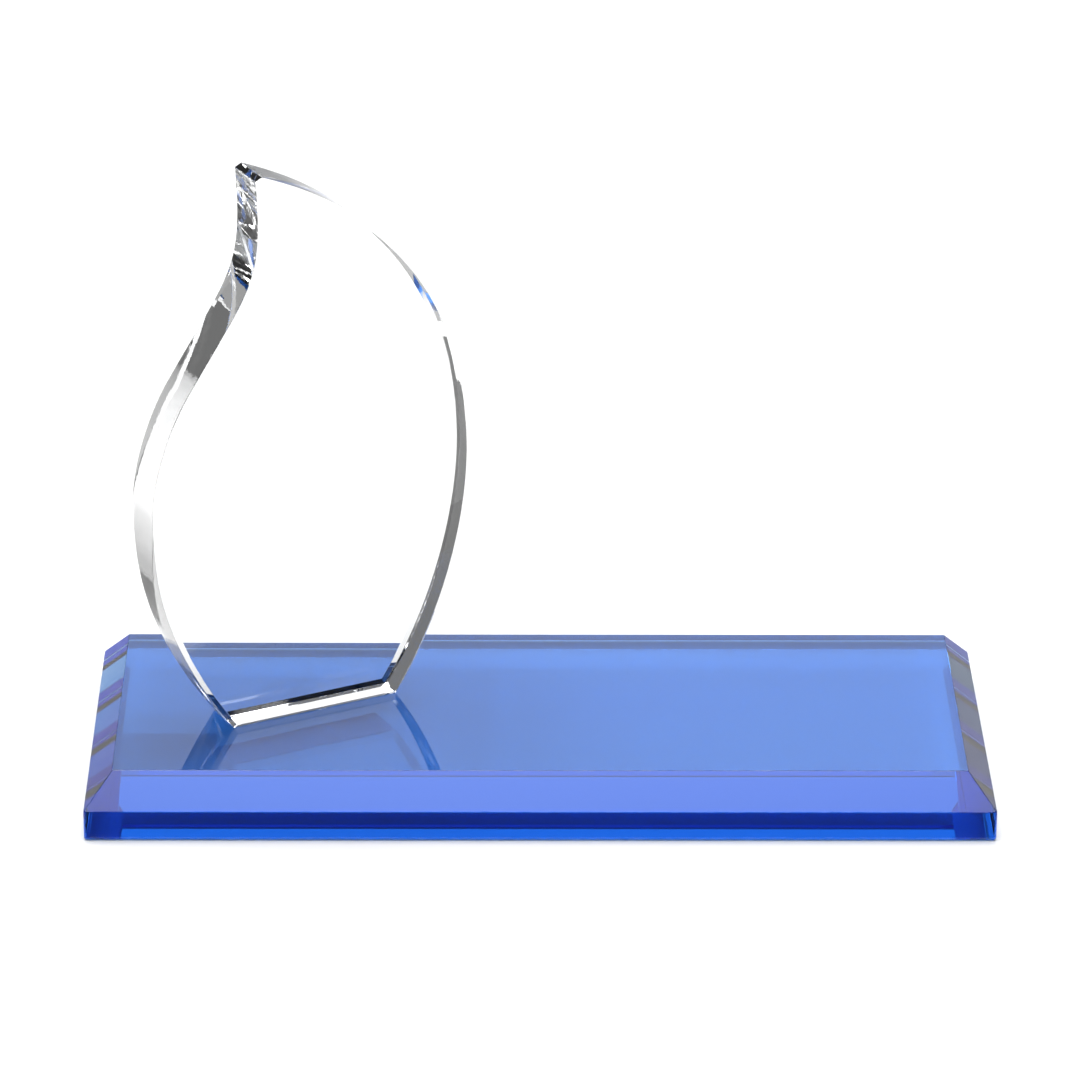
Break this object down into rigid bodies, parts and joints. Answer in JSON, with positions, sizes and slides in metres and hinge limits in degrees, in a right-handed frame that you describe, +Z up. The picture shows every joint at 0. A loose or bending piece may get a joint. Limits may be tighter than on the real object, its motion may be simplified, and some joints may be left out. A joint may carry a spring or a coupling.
{
  "type": "crystal award",
  "caption": "Clear flame-shaped crystal slab bonded upright on one end of a long blue crystal base with wide bevelled edges, for presenting as an award.",
  "frame": {"origin": "middle of the blue base's underside, on the surface that the award stands on", "axes": "+Z up; +X along the base's long side, the flame stands on the -X part; -Y towards the front, the side that the flame's narrow left edge faces"},
  "size_m": [0.3048, 0.127, 0.2178],
  "materials": {
    "blue_crystal": "polished optical crystal, transparent cobalt blue through its whole thickness",
    "clear_adhesive": "clear cured adhesive",
    "clear_crystal": "polished colourless optical crystal"
  },
  "bodies": {
    "root": {"blue_base": "blue_crystal", "bond_layer": "clear_adhesive", "crystal_flame": "clear_crystal"}
  },
  "joints": []
}
